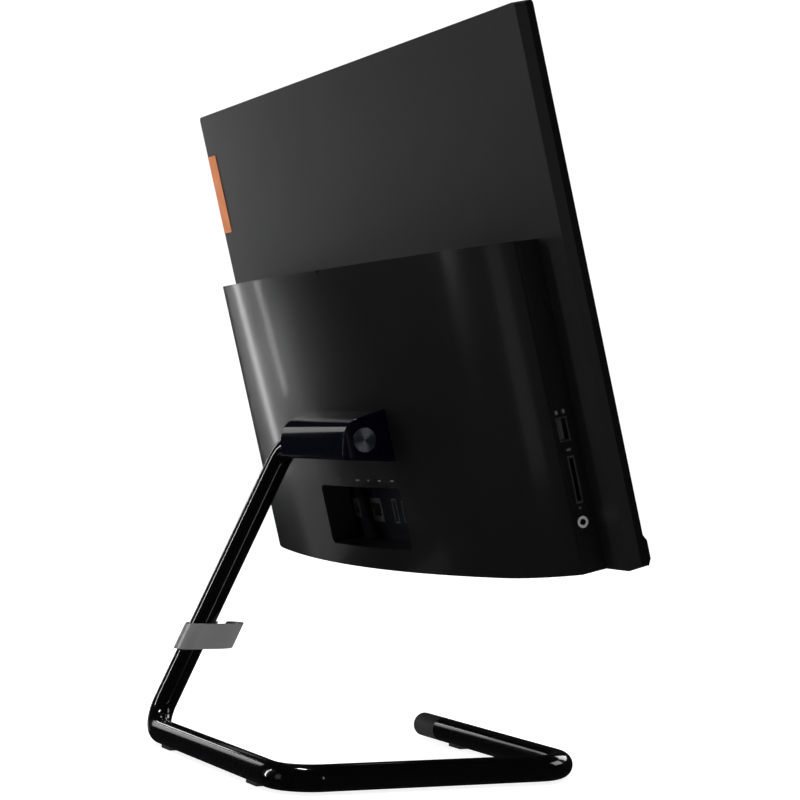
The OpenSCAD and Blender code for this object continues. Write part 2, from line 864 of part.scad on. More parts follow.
module drive_caddy() {
    color([0.55, 0.56, 0.57]) on_display() {
        block(drive_u0 - caddy_rim, drive_u1 + caddy_rim, chassis_back, chassis_back + 1.5,
            drive_v0 - 2.5, drive_v1 + 2.5);
        for (v = [drive_v0 - 2.5, drive_v1 + 2.5 - caddy_t])
            block(drive_u0 - caddy_rim, drive_u1 + caddy_rim, chassis_back, drive_w1, v, v + caddy_t);
    }
}

module left_speaker() {
    speaker(speaker_u[0]);
}

module right_speaker() {
    speaker(speaker_u[1]);
}

// Speaker box that fires through the slots in the housing's bottom wall
module speaker(u0) {
    color([0.05, 0.05, 0.05]) on_display() difference() {
        block(u0, u0 + speaker_len, 0.4, 12.2, wall + 0.6, 23);
        for (i = [0, 1]) rod_v(u0 + 20 + 30 * i, 6.3, wall, wall + 3, 4.5);
    }
}

// ---------- hinge ----------

// Folded steel channel on the chassis whose two lugs pass out through the cover
module hinge_bracket() {
    color([0.5, 0.51, 0.52]) on_display() difference() {
        union() {
            block(bracket_u0, bracket_u1, bracket_top - bracket_t, bracket_top, bracket_v0, bracket_v1);
            for (v = [bracket_v0, bracket_v1 - bracket_t])
                block(bracket_u0, bracket_u1, chassis_back, bracket_top, v, v + bracket_t);
            for (v = [bracket_v0 - bracket_flange, bracket_v1 - bracket_t])
                block(bracket_u0, bracket_u1, chassis_back, chassis_back + bracket_t,
                    v, v + bracket_flange + bracket_t);
            for (u = lug_places) {
                rod_u(u, u + lug_len, axis_w, axis_v, lug_r);
                block(u, u + lug_len, bracket_top - eps, axis_w, axis_v - lug_half, axis_v + lug_half);
            }
        }
        for (u = lug_places) rod_u(u - eps, u + lug_len + eps, axis_w, axis_v, bush_r);
        for (p = hinge_screw_places)
            rod_w(p[0], chassis_back - eps, chassis_back + bracket_t + eps, p[1], bracket_screw_r);
    }
}

module hinge_bushings() {
    color([0.85, 0.83, 0.75]) on_display() for (u = lug_places) difference() {
        rod_u(u, u + lug_len, axis_w, axis_v, bush_r);
        rod_u(u - eps, u + lug_len + eps, axis_w, axis_v, bush_bore_r);
    }
}

module hinge_screws() {
    color([0.7, 0.7, 0.7]) on_display() for (p = hinge_screw_places)
        screw_w(p[0], p[1], backlight_back + 0.1, chassis_back + bracket_t, bracket_screw_r - 0.1, 3.2, 2);
}

// Direction from c to where a line from p touches the circle of radius r about c; side is 1 or -1
function touch_angle(p, c, r, side) =
    let (d = p - c) atan2(d[1], d[0]) - side * acos(r / norm(d));

// Points along an arc from one angle to another
function arc_points(centre, r, a0, a1) = [
    for (i = [0 : cover_steps])
        let (a = a0 + (a1 - a0) * i / cover_steps) centre + r * [cos(a), sin(a)]
];

// Outline of the hinge cover, drawn across w and up v, drawn in by inset: a level underside, a
// small round below, an upright back, then the large round about the axis and a sloping top
module cover_outline(inset) {
    axis = [axis_w, axis_v];
    r = cover_r - inset;
    corner_r = block_corner_r - inset;
    level = [cos(tilt), sin(tilt)];
    up = [-sin(tilt), cos(tilt)];
    corner = axis + (cover_r - block_corner_r) * level - (block_drop - block_corner_r) * up;
    under = axis - (block_drop - inset) * up;
    top = [bracket_top, block_top_v - inset];
    bottom = under - level * (axis_w - bracket_top) / cos(tilt);
    polygon(concat(
        [bottom],
        arc_points(corner, corner_r, tilt - 90, tilt),
        arc_points(axis, r, tilt, touch_angle(top, axis, r, 1)),
        [top]
    ));
}

module cover_solid(u0, u1, inset) {
    translate([u0, 0, 0]) rotate([90, 0, 90]) linear_extrude(u1 - u0) cover_outline(inset);
}

// Glossy cover over the lugs, seated on the curved back of the housing
module hinge_cover() {
    color([0.02, 0.02, 0.04]) on_display() difference() {
        cover_solid(block_u0, block_u1, 0);
        arch_solid(0, 0, housing_h);
        cover_solid(block_u0 + block_t, block_u1 - block_t, block_t);
        rod_u(block_u1 - block_t - eps, block_u1 + eps, axis_w, axis_v, tube_r + 0.4);
        rod_u(block_u0 - eps, block_u0 + block_t + eps, axis_w, axis_v, disc_r + 0.1);
    }
}

module hinge_end_disc() {
    color([0.35, 0.36, 0.4]) on_display()
        rod_u(block_u0 - 0.3, block_u0 + block_t, axis_w, axis_v, disc_r);
}

// ---------- stand ----------

// Quarter bend in the XZ plane: centre, start angle and centre-line radius
module bend_xz(x, z, start, bend, r) {
    translate([x, 0, z]) rotate([90, 0, 0]) rotate([0, 0, start])
        rotate_extrude(angle = 90) translate([bend, 0]) circle(r = r);
}

// Quarter bend of the base, in the horizontal plane
module bend_xy(x, y, start, bend, r) {
    translate([x, y, tube_z]) rotate([0, 0, start])
        rotate_extrude(angle = 90) translate([bend, 0]) circle(r = r);
}

// The whole route of the tube as one rod of radius r; over lengthens its two ends
module tube_route(r, over) {
    pin_end = upright_x - upright_bend;
    leg_turn = upright_x - upright_bend;
    on_upright() {
        translate([tube_start_x - upright_x - over, 0, 0]) rotate([0, 90, 0])
            cylinder(h = pin_end - tube_start_x + over, r = r);
        bend_xz(-upright_bend, -upright_bend, 0, upright_bend, r);
        translate([0, 0, upright_bend - upright_len])
            cylinder(h = upright_len - 2 * upright_bend, r = r);
        bend_xz(-upright_bend, upright_bend - upright_len, -90, upright_bend, r);
    }
    translate([base_end_x + base_bend, hinge_y + base_half, tube_z]) rotate([0, 90, 0])
        cylinder(h = leg_turn - base_end_x - base_bend, r = r);
    translate([leg_turn - bead_len / 2, hinge_y + base_half, tube_z]) rotate([0, 90, 0])
        cylinder(h = bead_len, r = r + bead_h);
    bend_xy(base_end_x + base_bend, hinge_y + base_half - base_bend, 90, base_bend, r);
    translate([base_end_x, hinge_y - front_half + base_bend, tube_z]) rotate([-90, 0, 0])
        cylinder(h = base_half + front_half - 2 * base_bend, r = r);
    bend_xy(base_end_x + base_bend, hinge_y - front_half + base_bend, 180, base_bend, r);
    translate([base_end_x + base_bend, hinge_y - front_half, tube_z]) rotate([0, 90, 0])
        cylinder(h = free_end_x - cap_len - base_end_x - base_bend + over, r = r);
}

module stand_tube() {
    color([0.03, 0.03, 0.03]) difference() {
        tube_route(tube_r, 0);
        tube_route(tube_r - tube_wall, 1);
    }
}

// Steel ring pinned on the tube between the lugs, which keeps it from sliding out
module retaining_ring() {
    color([0.6, 0.61, 0.62]) on_upright() translate([ring_u - upright_x, 0, 0]) rotate([0, 90, 0])
        difference() {
            cylinder(h = ring_len, r = tube_r + ring_t);
            translate([0, 0, -eps]) cylinder(h = ring_len + 2 * eps, r = tube_r);
        }
}

// Rubber cap: a plug inside the tube's end and a body flush with its outside
module tube_end_cap() {
    color([0.25, 0.25, 0.25]) translate([free_end_x - cap_len, hinge_y - front_half, tube_z])
        rotate([0, 90, 0]) {
            cylinder(h = cap_len - cap_round + eps, r = cap_r);
            translate([0, 0, cap_len - cap_round])
                cylinder(h = cap_round, r1 = cap_r, r2 = cap_r - cap_round);
            translate([0, 0, -plug_len]) cylinder(h = plug_len + eps, r = tube_r - tube_wall);
        }
}

// Small rubber pads glued under the two long legs
module foot_pads() {
    color([0.1, 0.1, 0.1]) for (p = pad_places) difference() {
        translate([p[0] - pad_len / 2, hinge_y + p[1] - pad_w / 2, 0])
            cube([pad_len, pad_w, pad_top]);
        translate([p[0] - pad_len, hinge_y + p[1], tube_z]) rotate([0, 90, 0])
            cylinder(h = 2 * pad_len, r = tube_r);
    }
}

// Outline of the clip's band: one round end on the tube, the other round the cables
module clip_outline(r) {
    circle(r = r);
    translate([0, -clip_reach]) circle(r = r);
    translate([-r, -clip_reach]) square([2 * r, clip_reach]);
}

// Band that slides on the upright, cut level at its top and bottom
module cable_clip() {
    color([0.45, 0.45, 0.45]) intersection() {
        on_upright() translate([0, 0, -clip_drop - 2 * clip_h]) difference() {
            linear_extrude(4 * clip_h) clip_outline(clip_out_r);
            translate([0, 0, -eps]) linear_extrude(4 * clip_h + 2 * eps) clip_outline(clip_in_r);
            translate([0, -clip_reach - clip_slit / 2, -eps])
                cube([2 * clip_out_r, clip_slit, 4 * clip_h + 2 * eps]);
        }
        translate([upright_x - 2 * clip_out_r, hinge_y - base_half, clip_z - clip_h / 2])
            cube([4 * clip_out_r, 2 * base_half, clip_h]);
    }
}

module cover_screws() {
    color([0.3, 0.3, 0.3]) on_display() for (u = cover_screw_u) {
        rod_v(u, cover_screw_w, 1.3, wall + 6, cover_screw_r);
        rod_v(u, cover_screw_w, 0.4, 1.4, cover_screw_head);
    }
}

rear_cover();
front_bezel();
chin_strip();
side_tag();
lcd_panel();
backlight_unit();
panel_driver_board();
panel_cable();
chassis_frame();
webcam_module();
webcam_lens();
camera_shutter();
top_grille();
bottom_grille();
socket_side_panel();
button_side_panel();
housing_cover();
port_pocket();
io_shield();
motherboard();
processor();
cold_plate();
heat_pipe();
fin_stack();
fan_housing();
fan_rotor();
memory_modules();
memory_sockets();
wireless_card();
coin_cell();
hard_drive();
drive_caddy();
left_speaker();
right_speaker();
power_inlet();
network_port();
video_port();
rear_usb_ports();
side_usb_port();
card_reader();
audio_jack();
power_button();
switch_board();
hinge_bracket();
hinge_bushings();
hinge_cover();
hinge_end_disc();
stand_tube();
retaining_ring();
tube_end_cap();
foot_pads();
cable_clip();
board_screws();
hinge_screws();
cover_screws();
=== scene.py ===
"""Looks of the all-in-one computer: materials, smooth visible pieces, camera, floor and light.

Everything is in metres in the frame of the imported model. Places on the display are given as
u across, w behind the slab's back face and v up the slab, and on_display() turns them upright.
"""
import json
import math

import bmesh
import bpy
from mathutils import Matrix, Vector


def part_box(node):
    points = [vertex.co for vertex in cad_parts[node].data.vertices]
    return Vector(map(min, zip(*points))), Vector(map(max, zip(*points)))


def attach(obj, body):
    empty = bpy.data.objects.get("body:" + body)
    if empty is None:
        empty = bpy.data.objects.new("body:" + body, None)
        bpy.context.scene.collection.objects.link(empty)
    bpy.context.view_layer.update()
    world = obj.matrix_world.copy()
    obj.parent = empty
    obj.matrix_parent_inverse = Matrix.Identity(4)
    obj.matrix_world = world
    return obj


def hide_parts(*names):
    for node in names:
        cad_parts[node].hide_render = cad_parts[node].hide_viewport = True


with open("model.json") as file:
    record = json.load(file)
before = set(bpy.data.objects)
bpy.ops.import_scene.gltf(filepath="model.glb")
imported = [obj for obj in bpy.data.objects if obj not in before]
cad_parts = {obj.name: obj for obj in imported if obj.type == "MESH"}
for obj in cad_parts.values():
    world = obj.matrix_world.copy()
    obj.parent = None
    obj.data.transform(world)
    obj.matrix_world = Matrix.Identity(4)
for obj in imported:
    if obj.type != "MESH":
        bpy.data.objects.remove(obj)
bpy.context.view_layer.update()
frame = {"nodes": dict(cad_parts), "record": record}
NODES = frame["nodes"]
JOINTS = {j["name"]: j for j in frame["record"]["behaviour"]["joints"]}
SLOT_OF = {p["node"]: p["material_slot"] for p in frame["record"]["subparts"]}
MM = 0.001

# ---------- places taken from the frame ----------

HINGE = Vector(JOINTS["display_tilt"]["pos_m"])
FAN_AXIS = JOINTS["fan_spin"]["axis"]
UPRIGHT_AXIS = Vector(JOINTS["clip_slide"]["axis"])
TILT = math.atan2(-FAN_AXIS[2], FAN_AXIS[1])
AXIS_W = 66.5 * MM
AXIS_V = 88.5 * MM
DISPLAY = (Matrix.Translation(HINGE) @ Matrix.Rotation(-TILT, 4, "X")
           @ Matrix.Translation((0, -AXIS_W, -AXIS_V)))

TUBE_R = 7.5 * MM
UPRIGHT_BEND = 19 * MM
BASE_BEND = 22 * MM
PIN_START_X = -76 * MM
CAP_LEN = 30 * MM
tube_low, tube_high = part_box("stand_tube")
cap_low, cap_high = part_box("tube_end_cap")
clip_low, clip_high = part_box("cable_clip")
UPRIGHT_X = tube_high.x - TUBE_R
BASE_END_X = tube_low.x + TUBE_R
REAR_Y = tube_high.y - TUBE_R
FRONT_Y = cap_low.y + (cap_high.y - cap_low.y) / 2
TUBE_Z = (cap_low.z + cap_high.z) / 2

HALF_W = 245 * MM
HALF_HOUSING = 218 * MM
CROWN = 53 * MM
ARCH_R = 950 * MM

# Hinge cover: its ends, the roots of its upper and lower faces, and its rounded side
COVER_U0 = -80 * MM
COVER_U1 = 19.5 * MM
COVER_TOP_V = AXIS_V + 16.5 * MM
COVER_DROP = 12.4 * MM
COVER_CORNER_R = 3 * MM
COVER_ROOT_LINE_W = 30 * MM
COVER_R = 14 * MM
DISC_R = 7.5 * MM
BORE_R = TUBE_R + 0.4 * MM
# Room inside the cover for the retaining ring on the tube
ROOM_R = 10.6 * MM
COVER_WALL = 1.6 * MM


def on_display(u, w, v):
    return DISPLAY @ Vector((u, w, v))


def arch_w(u):
    """Depth of the housing's curved back at u, within its middle arc."""
    return CROWN - ARCH_R + math.sqrt(ARCH_R ** 2 - u ** 2)


# ---------- camera ----------

CAMERA_PLACE = (-1.2650, 0.5351, 0.1875)
CAMERA_YAW = math.radians(25.105)
CAMERA_PITCH = math.radians(1.277)
CAMERA_ROLL = math.radians(1.472)
SENSOR = 36.0
FOCAL_WIDTHS = 2.7207


def make_camera():
    data = bpy.data.cameras.new("camera")
    data.sensor_width = SENSOR
    data.lens = FOCAL_WIDTHS * SENSOR
    data.clip_start = 0.05
    data.clip_end = 100
    camera = bpy.data.objects.new("camera", data)
    bpy.context.scene.collection.objects.link(camera)
    forward = Vector((
        math.cos(CAMERA_YAW) * math.cos(CAMERA_PITCH),
        -math.sin(CAMERA_YAW) * math.cos(CAMERA_PITCH),
        math.sin(CAMERA_PITCH),
    ))
    level = forward.cross(Vector((0, 0, 1))).normalized()
    up = level.cross(forward)
    right = level * math.cos(CAMERA_ROLL) + up * math.sin(CAMERA_ROLL)
    top = up * math.cos(CAMERA_ROLL) - level * math.sin(CAMERA_ROLL)
    turn = Matrix((right, top, -forward)).transposed().to_4x4()
    camera.matrix_world = Matrix.Translation(CAMERA_PLACE) @ turn
    bpy.context.scene.camera = camera


# ---------- materials ----------

class Finish:
    """One procedural material: mottled colour, uneven gloss and a fine surface grain."""

    def __init__(self, name, colour, roughness, metallic=0.0, specular=0.5):
        self.material = bpy.data.materials.new(name)
        self.material.use_nodes = True
        self.tree = self.material.node_tree
        self.shader = self.tree.nodes["Principled BSDF"]
        self.colour = colour
        self.shader.inputs["Base Color"].default_value = (*colour, 1)
        self.shader.inputs["Roughness"].default_value = roughness
        self.shader.inputs["Metallic"].default_value = metallic
        self.shader.inputs["Specular IOR Level"].default_value = specular
        self.roughness = roughness
        self.coords = self.add("ShaderNodeTexCoord").outputs["Object"]
        self.normal = None

    def add(self, kind, **settings):
        node = self.tree.nodes.new(kind)
        for key, value in settings.items():
            setattr(node, key, value)
        return node

    def join(self, output, socket):
        self.tree.links.new(output, socket)

    def noise(self, scale, detail=3.0, stretch=(1, 1, 1)):
        mapping = self.add("ShaderNodeMapping")
        mapping.inputs["Scale"].default_value = stretch
        self.join(self.coords, mapping.inputs["Vector"])
        noise = self.add("ShaderNodeTexNoise")
        noise.inputs["Scale"].default_value = scale
        noise.inputs["Detail"].default_value = detail
        self.join(mapping.outputs["Vector"], noise.inputs["Vector"])
        return noise.outputs["Fac"]

    def spread(self, value, low, high):
        span = self.add("ShaderNodeMapRange")
        span.inputs["From Min"].default_value = 0.3
        span.inputs["From Max"].default_value = 0.7
        span.inputs["To Min"].default_value = low
        span.inputs["To Max"].default_value = high
        self.join(value, span.inputs["Value"])
        return span.outputs["Result"]

    def mottle(self, scale, amount, stretch=(1, 1, 1)):
        """Colour that drifts by amount, as a share of itself."""
        mix = self.add("ShaderNodeMix", data_type="RGBA")
        mix.inputs["A"].default_value = (*[c * (1 - amount) for c in self.colour], 1)
        mix.inputs["B"].default_value = (*[c * (1 + amount) for c in self.colour], 1)
        self.join(self.spread(self.noise(scale, stretch=stretch), 0, 1), mix.inputs["Factor"])
        self.join(mix.outputs["Result"], self.shader.inputs["Base Color"])
        return self

    def uneven_gloss(self, scale, amount, stretch=(1, 1, 1)):
        low = max(self.roughness - amount, 0.01)
        value = self.spread(self.noise(scale, 4.0, stretch), low, self.roughness + amount)
        self.join(value, self.shader.inputs["Roughness"])
        return self

    def grain(self, scale, depth, detail=2.0, stretch=(1, 1, 1)):
        """Bumps of that depth in metres; calls add up."""
        bump = self.add("ShaderNodeBump")
        bump.inputs["Distance"].default_value = depth
        self.join(self.noise(scale, detail, stretch), bump.inputs["Height"])
        if self.normal is not None:
            self.join(self.normal, bump.inputs["Normal"])
        self.normal = bump.outputs["Normal"]
        self.join(self.normal, self.shader.inputs["Normal"])
        return self

    def coat(self, weight, roughness):
        self.shader.inputs["Coat Weight"].default_value = weight
        self.shader.inputs["Coat Roughness"].default_value = roughness
        return self

    def turned(self, amount):
        """Circular brushing about the piece's own X axis."""
        self.shader.inputs["Anisotropic"].default_value = amount
        tangent = self.add("ShaderNodeTangent", direction_type="RADIAL", axis="X")
        self.join(tangent.outputs["Tangent"], self.shader.inputs["Tangent"])
        return self


def moulded(name, colour, roughness, specular, grain_depth=3e-6):
    """Moulded plastic: spark-eroded grain, faint flow marks and rubbed patches."""
    finish = Finish(name, colour, roughness, specular=specular)
    return finish.mottle(9, 0.12).uneven_gloss(14, 0.03).grain(2600, grain_depth)


def metal(name, colour, roughness, stretch=(1, 1, 1)):
    finish = Finish(name, colour, roughness, metallic=1.0)
    return finish.mottle(60, 0.08, stretch).uneven_gloss(220, 0.06, stretch).grain(900, 4e-6, stretch=stretch)


def circuit_board():
    """Solder mask over fine copper tracks."""
    finish = Finish("circuit_board", (0.01, 0.09, 0.045), 0.32)
    tracks = finish.add("ShaderNodeTexBrick")
    tracks.inputs["Scale"].default_value = 380
    tracks.inputs["Mortar Size"].default_value = 0.06
    tracks.inputs["Color1"].default_value = (0.008, 0.075, 0.036, 1)
    tracks.inputs["Color2"].default_value = (0.012, 0.1, 0.05, 1)
    tracks.inputs["Mortar"].default_value = (0.03, 0.16, 0.08, 1)
    finish.join(finish.coords, tracks.inputs["Vector"])
    finish.join(tracks.outputs["Color"], finish.shader.inputs["Base Color"])
    return finish.uneven_gloss(80, 0.08).grain(700, 1e-5)


def screen_glass():
    """Anti-glare polariser: near black, with a fine sparkle in its gloss."""
    finish = Finish("screen", (0.004, 0.004, 0.0048), 0.2, specular=0.45)
    return finish.mottle(4, 0.2).uneven_gloss(3000, 0.03).grain(4200, 1.2e-6).coat(0.25, 0.12)


def tag_cloth():
    """Coloured tag with a fine woven ribbon face."""
    finish = Finish("tag_orange", (0.62, 0.2, 0.065), 0.55, specular=0.3)
    weave = finish.add("ShaderNodeTexWave", wave_type="BANDS", bands_direction="DIAGONAL")
    weave.inputs["Scale"].default_value = 900
    weave.inputs["Distortion"].default_value = 0.4
    finish.join(finish.coords, weave.inputs["Vector"])
    bump = finish.add("ShaderNodeBump")
    bump.inputs["Distance"].default_value = 2.5e-5
    finish.join(weave.outputs["Fac"], bump.inputs["Height"])
    finish.normal = bump.outputs["Normal"]
    return finish.mottle(120, 0.1).uneven_gloss(200, 0.06).grain(2500, 8e-6)


def make_finishes():
    rubber = Finish("rubber", (0.03, 0.03, 0.03), 0.6, specular=0.4)
    tube = Finish("tube_paint", (0.0012, 0.0012, 0.0014), 0.14, specular=0.5)
    glossy = Finish("gloss_black", (0.001, 0.001, 0.004), 0.1, specular=0.22)
    disc = Finish("disc_metal", (0.6, 0.62, 0.68), 0.34, metallic=1.0)
    clip = Finish("clip_grey", (0.3, 0.3, 0.305), 0.33, metallic=0.4)
    lens = Finish("lens_glass", (0.004, 0.005, 0.02), 0.03, specular=0.8)
    finishes = [
        moulded("cover_plastic", (0.006, 0.006, 0.006), 0.4, 0.75, 1.5e-6),
        moulded("bezel_plastic", (0.0024, 0.0024, 0.0026), 0.3, 0.3, 1.5e-6),
        moulded("housing_plastic", (0.0042, 0.0042, 0.0042), 0.3, 0.4, 8e-7).coat(0.35, 0.1),
        moulded("pocket_plastic", (0.0045, 0.0045, 0.006), 0.5, 0.3),
        moulded("component_black", (0.012, 0.012, 0.012), 0.5, 0.4),
        moulded("diffuser", (0.7, 0.7, 0.7), 0.6, 0.3),
        moulded("bushing", (0.6, 0.57, 0.48), 0.45, 0.5),
        moulded("flex", (0.5, 0.48, 0.4), 0.4, 0.5),
        clip.mottle(60, 0.06).uneven_gloss(80, 0.03).grain(1400, 2e-6),
        metal("steel_sheet", (0.55, 0.56, 0.57), 0.36, (1, 1, 0.08)),
        metal("connector_metal", (0.62, 0.63, 0.65), 0.34),
        metal("aluminium", (0.7, 0.71, 0.73), 0.3, (1, 1, 0.1)),
        metal("copper", (0.72, 0.38, 0.2), 0.28),
        metal("shield_metal", (0.05, 0.052, 0.068), 0.42),
        circuit_board(),
        screen_glass(),
        tag_cloth(),
        rubber.mottle(40, 0.15).uneven_gloss(60, 0.06).grain(1500, 1.2e-5),
        tube.mottle(20, 0.1).uneven_gloss(30, 0.03).grain(260, 3e-6).coat(1.0, 0.03),
        glossy.mottle(20, 0.1).uneven_gloss(25, 0.02).grain(120, 2e-6).coat(0.6, 0.04),
        disc.mottle(300, 0.1).uneven_gloss(500, 0.05).grain(1600, 1e-6).turned(0.95),
        lens.mottle(200, 0.2).uneven_gloss(300, 0.01).grain(300, 1e-6).coat(1.0, 0.02),
        moulded("mark_ink", (0.09, 0.09, 0.092), 0.5, 0.4),
        moulded("ring_grey", (0.35, 0.35, 0.36), 0.35, 0.6),
        metal("contact_gold", (0.85, 0.6, 0.25), 0.25),
    ]
    return {f.material.name: f.material for f in finishes}


# ---------- shapes ----------

def piece(name, mesh, slot, body, replaces=(), finish=None, smooth_angle=35):
    """Finishes a mesh as a visible piece that rides on a body."""
    mesh.materials.append(FINISHES[finish or slot])
    obj = bpy.data.objects.new(name, mesh)
    bpy.context.scene.collection.objects.link(obj)
    for face in mesh.polygons:
        face.use_smooth = True
    mesh.set_sharp_from_angle(angle=math.radians(smooth_angle))
    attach(obj, body)
    if replaces:
        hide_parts(*replaces)
    return obj


def mesh_from(points, faces, name):
    mesh = bpy.data.meshes.new(name)
    mesh.from_pydata([tuple(p) for p in points], [], faces)
    mesh.update()
    tidy = bmesh.new()
    tidy.from_mesh(mesh)
    bmesh.ops.recalc_face_normals(tidy, faces=tidy.faces)
    tidy.to_mesh(mesh)
    tidy.free()
    return mesh


def skin_rings(rings, name):
    """Solid through rings of equal length, each a closed loop of points."""
    count = len(rings[0])
    points = [p for ring in rings for p in ring]
    faces = []
    for i in range(len(rings) - 1):
        for k in range(count):
            n = (k + 1) % count
            faces.append((i * count + k, i * count + n, (i + 1) * count + n, (i + 1) * count + k))
    faces.append(tuple(range(count)))
    faces.append(tuple(range((len(rings) - 1) * count, len(rings) * count)))
    return mesh_from(points, faces, name)


def rounded_path(corners, radii, steps):
    """Points along straight lines through the corners, each turn rounded to its radius."""
    path = [corners[0]]
    for before, corner, after, radius in zip(corners, corners[1:], corners[2:], radii):
        way_in = (before - corner).normalized()
        way_out = (after - corner).normalized()
        half = way_in.angle(way_out) / 2
        centre = corner + (way_in + way_out).normalized() * (radius / math.sin(half))
        start = corner + way_in * (radius / math.tan(half)) - centre
        turn = math.pi - 2 * half
        pole = start.cross(-way_in).normalized()
        path += [centre + Matrix.Rotation(turn * i / steps, 3, pole) @ start for i in range(steps + 1)]
    path.append(corners[-1])
    return path


def spaced(path, gap):
    """The same path with extra points on its long straight stretches."""
    points = [path[0]]
    for a, b in zip(path, path[1:]):
        count = max(1, int((b - a).length / gap))
        points += [a.lerp(b, i / count) for i in range(1, count + 1)]
    return points


def sweep(path, radius, sides, name):
    """Round tube along a path, turned as little as possible from ring to ring."""
    rings = []
    tangent = (path[1] - path[0]).normalized()
    side = tangent.orthogonal().normalized()
    for i, point in enumerate(path):
        ahead = path[min(i + 1, len(path) - 1)] - path[max(i - 1, 0)]
        side = (tangent.rotation_difference(ahead.normalized()) @ side).normalized()
        tangent = ahead.normalized()
        other = tangent.cross(side)
        rings.append([
            point + (side * math.cos(a) + other * math.sin(a)) * radius
            for a in (2 * math.pi * k / sides for k in range(sides))
        ])
    return skin_rings(rings, name)


def lathe(origin, axis, profile, sides, name):
    """Solid of revolution; the profile lists distance along the axis and radius."""
    axis = axis.normalized()
    side = axis.orthogonal().normalized()
    other = axis.cross(side)
    rings = []
    for along, radius in profile:
        rings.append([
            origin + axis * along + (side * math.cos(a) + other * math.sin(a)) * radius
            for a in (2 * math.pi * k / sides for k in range(sides))
        ])
    return skin_rings(rings, name)


def turned_ring(origin, axis, profile, sides, name):
    """Ring whose closed section is turned about an axis."""
    axis = axis.normalized()
    side = axis.orthogonal().normalized()
    other = axis.cross(side)
    points = []
    faces = []
    count = len(profile)
    for k in range(sides):
        a = 2 * math.pi * k / sides
        spoke = side * math.cos(a) + other * math.sin(a)
        points += [origin + axis * along + spoke * radius for along, radius in profile]
        n = (k + 1) % sides
        for i in range(count):
            j = (i + 1) % count
            faces.append((k * count + i, k * count + j, n * count + j, n * count + i))
    return mesh_from(points, faces, name)


def round_edges(obj, width, segments=3, angle=40):
    bevel = obj.modifiers.new("edges", "BEVEL")
    bevel.width = width
    bevel.segments = segments
    bevel.limit_method = "ANGLE"
    bevel.angle_limit = math.radians(angle)
    bevel.harden_normals = True


def soften(node, width, segments=2):
    """Rounds the edges of a CAD node with modifiers only."""
    obj = NODES[node]
    weld = obj.modifiers.new("weld", "WELD")
    weld.merge_threshold = 2e-6
    round_edges(obj, width, segments)
    normals = obj.modifiers.new("normals", "WEIGHTED_NORMAL")
    normals.keep_sharp = False


def boxes_mesh(boxes, name):
    """One mesh of small boxes, each given by its eight corners' (u, w, v) limits."""
    points = []
    faces = []
    for u0, u1, w0, w1, v0, v1 in boxes:
        base = len(points)
        points += [on_display(u, w, v) for u in (u0, u1) for w in (w0, w1) for v in (v0, v1)]
        for quad in ((0, 1, 3, 2), (4, 6, 7, 5), (0, 4, 5, 1), (2, 3, 7, 6), (0, 2, 6, 4), (1, 5, 7, 3)):
            faces.append(tuple(base + k for k in quad))
    return mesh_from(points, faces, name)


# ---------- stand ----------

def stand_tube():
    corners = [
        Vector((PIN_START_X, HINGE.y, HINGE.z)),
        Vector((UPRIGHT_X, HINGE.y, HINGE.z)),
        Vector((UPRIGHT_X, REAR_Y, TUBE_Z)),
        Vector((BASE_END_X, REAR_Y, TUBE_Z)),
        Vector((BASE_END_X, FRONT_Y, TUBE_Z)),
        Vector((cap_high.x - CAP_LEN, FRONT_Y, TUBE_Z)),
    ]
    radii = [UPRIGHT_BEND, UPRIGHT_BEND, BASE_BEND, BASE_BEND]
    path = spaced(rounded_path(corners, radii, 20), 12 * MM)
    piece("bent_tube", sweep(path, TUBE_R, 48, "bent_tube"), "tube_paint", "stand",
          replaces=["stand_tube"])


def end_cap():
    """Soft cap with a thin lip where it meets the tube and a rounded end."""
    start = cap_high.x - CAP_LEN
    lip = 1.2 * MM
    groove = 0.35 * MM
    round_r = 2.2 * MM
    lip_r = TUBE_R + 0.08 * MM
    profile = [(0.05 * MM, TUBE_R - 1 * MM), (0.05 * MM, TUBE_R - 0.1 * MM), (0.3 * MM, lip_r)]
    profile += [(lip, lip_r), (lip + groove, TUBE_R - 0.25 * MM), (lip + 2 * groove, TUBE_R)]
    steps = 8
    for i in range(steps + 1):
        a = math.pi / 2 * i / steps
        along = CAP_LEN - round_r + round_r * math.sin(a)
        profile.append((along, TUBE_R - round_r + round_r * math.cos(a)))
    profile.append((CAP_LEN - 0.05 * MM, 1 * MM))
    mesh = lathe(Vector((start, FRONT_Y, TUBE_Z)), Vector((1, 0, 0)), profile, 48, "end_cap")
    piece("end_cap", mesh, "rubber", "stand", replaces=["tube_end_cap"], smooth_angle=50)


